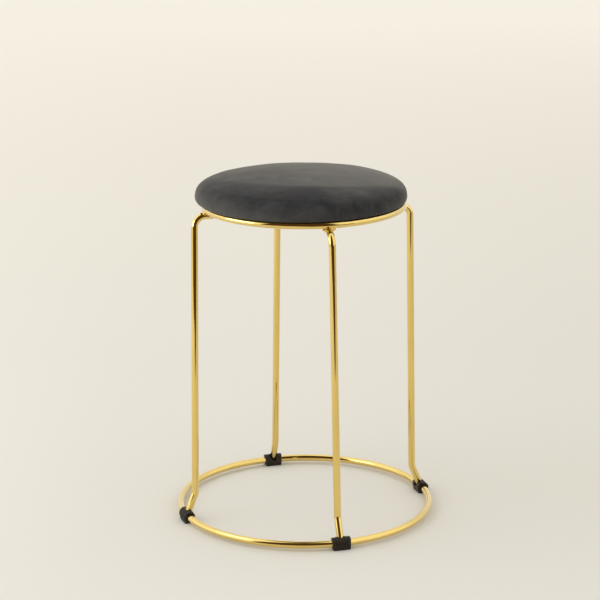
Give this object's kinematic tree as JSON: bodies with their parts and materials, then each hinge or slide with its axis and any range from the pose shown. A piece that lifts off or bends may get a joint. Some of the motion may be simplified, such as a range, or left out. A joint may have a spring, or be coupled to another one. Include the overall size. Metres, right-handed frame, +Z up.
{
  "type": "vanity stool",
  "caption": "Backless vanity stool: a round domed velvet cushion on a gold rod frame, with bent legs between two rings and black clips under the base ring.",
  "frame": {"origin": "on the floor, under the middle of the base ring", "axes": "+Z up; the front leg stands towards -Y and the right leg towards +X"},
  "size_m": [0.3768, 0.3768, 0.4933],
  "materials": {
    "gold_plate": "polished gold plating on steel rod",
    "weld_gold": "plated weld bead, slightly rippled",
    "velvet": "charcoal velvet with a short soft nap",
    "foam": "open cell foam, hidden",
    "plywood": "raw plywood, hidden",
    "dust_cloth": "black nonwoven cloth",
    "black_plastic": "moulded soft black plastic, satin",
    "zinc_steel": "zinc plated, bright"
  },
  "bodies": {
    "root": {"base_ring": "gold_plate", "top_ring": "gold_plate", "leg_front": "gold_plate", "leg_right": "gold_plate", "leg_back": "gold_plate", "leg_left": "gold_plate", "weld_front": "weld_gold", "weld_right": "weld_gold", "weld_back": "weld_gold", "weld_left": "weld_gold", "foot_clip_front": "black_plastic", "foot_clip_right": "black_plastic", "foot_clip_back": "black_plastic", "foot_clip_left": "black_plastic", "seat_tab_1": "gold_plate", "seat_tab_2": "gold_plate", "seat_tab_3": "gold_plate", "seat_tab_4": "gold_plate", "seat_screw_1": "zinc_steel", "seat_screw_2": "zinc_steel", "seat_screw_3": "zinc_steel", "seat_screw_4": "zinc_steel", "seat_board": "plywood", "seat_foam": "foam", "seat_cover": "velvet", "dust_cover": "dust_cloth", "staple_01": "zinc_steel", "staple_02": "zinc_steel", "staple_03": "zinc_steel", "staple_04": "zinc_steel", "staple_05": "zinc_steel", "staple_06": "zinc_steel", "staple_07": "zinc_steel", "staple_08": "zinc_steel", "staple_09": "zinc_steel", "staple_10": "zinc_steel", "staple_11": "zinc_steel", "staple_12": "zinc_steel"}
  },
  "joints": []
}
